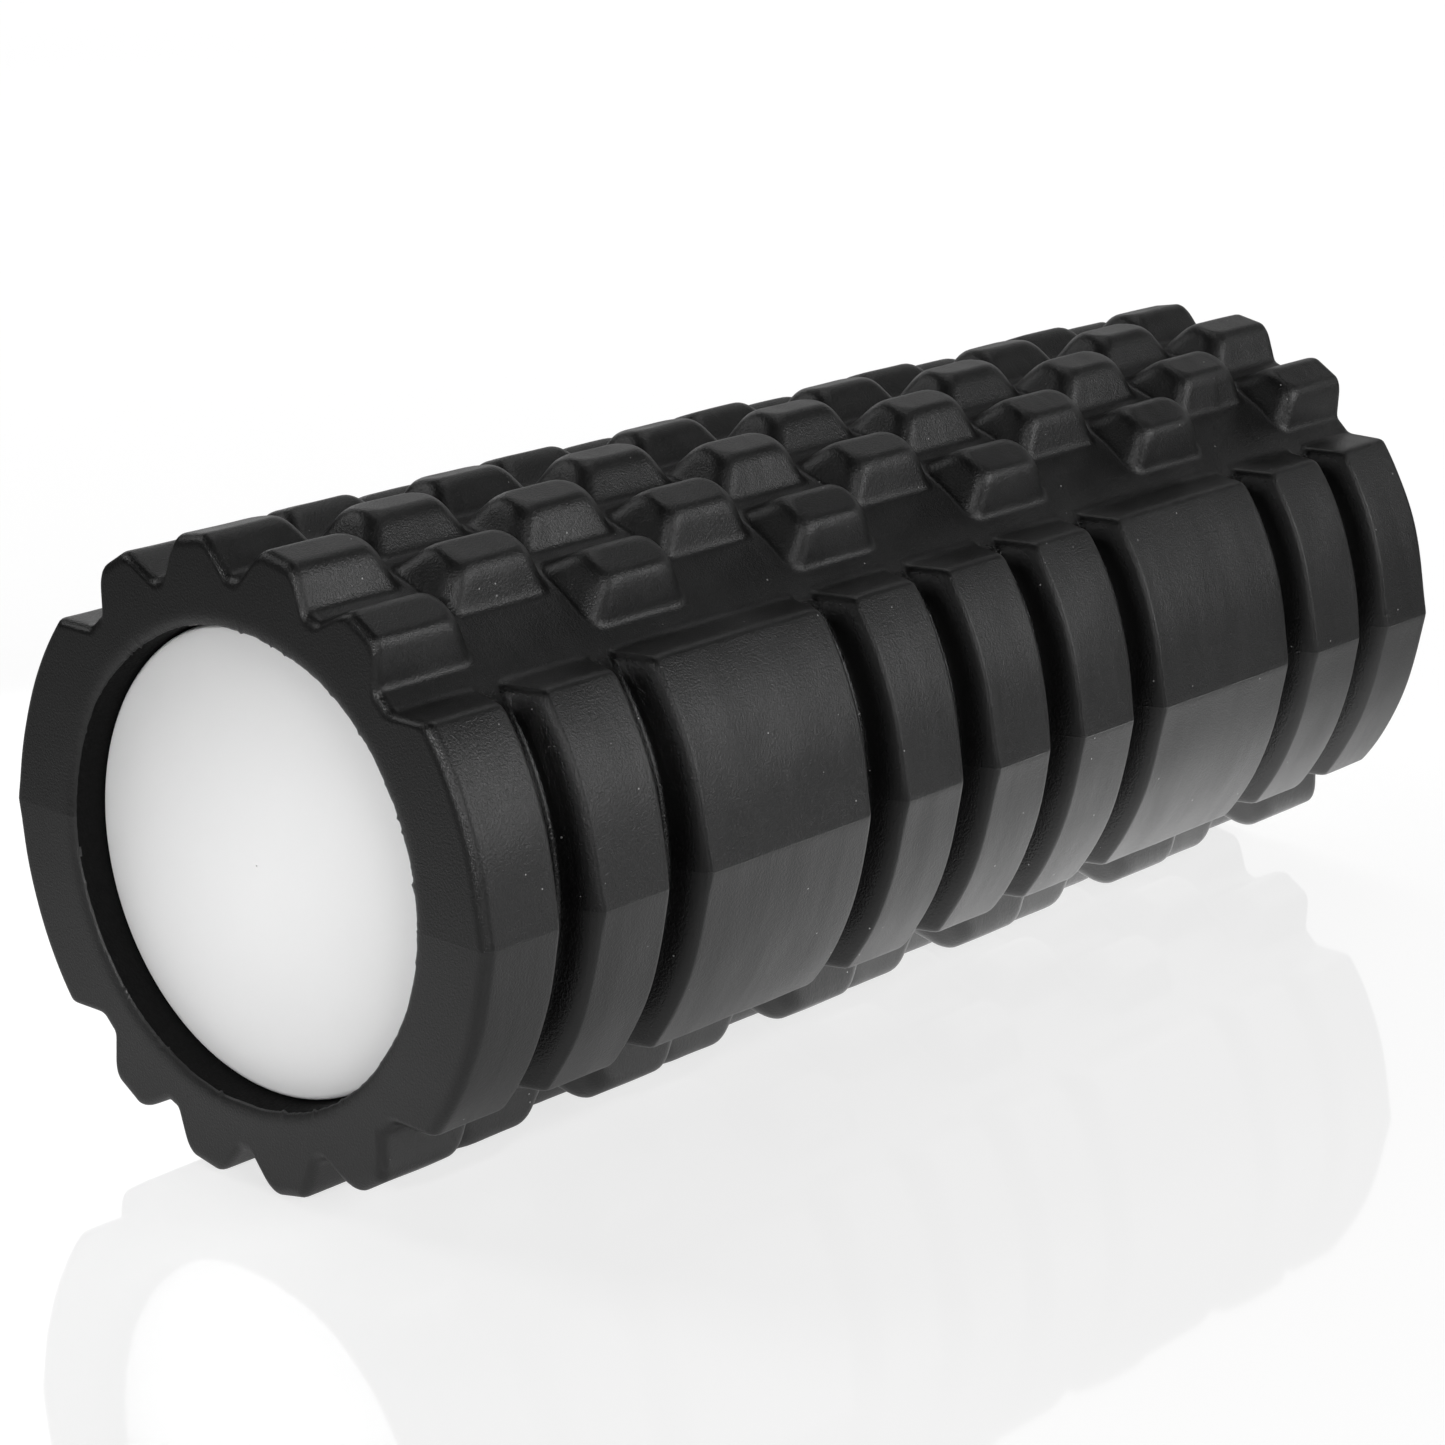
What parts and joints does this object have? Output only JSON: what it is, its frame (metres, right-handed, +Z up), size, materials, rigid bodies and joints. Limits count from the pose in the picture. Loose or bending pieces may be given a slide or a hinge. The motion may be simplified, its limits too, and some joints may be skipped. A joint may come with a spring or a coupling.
{
  "type": "foam roller",
  "caption": "Hollow massage roller: a moulded black foam sleeve with block and rib tread fields on a rigid core tube, closed by recessed white end caps.",
  "frame": {"origin": "on the floor under the middle of the roller, at the flat top of the middle block underneath", "axes": "+X along the roller's axis, +Z up, with the block fields above and below and the rib fields facing -Y and +Y"},
  "size_m": [0.33, 0.1358, 0.1334],
  "materials": {
    "black_foam": "matte moulded closed-cell EVA foam, fine grain",
    "core_plastic": "satin extruded tube",
    "white_plastic": "satin moulded plastic"
  },
  "bodies": {
    "root": {"foam_sleeve": "black_foam", "core_tube": "core_plastic", "end_cap_near": "white_plastic", "end_cap_far": "white_plastic"}
  },
  "joints": []
}
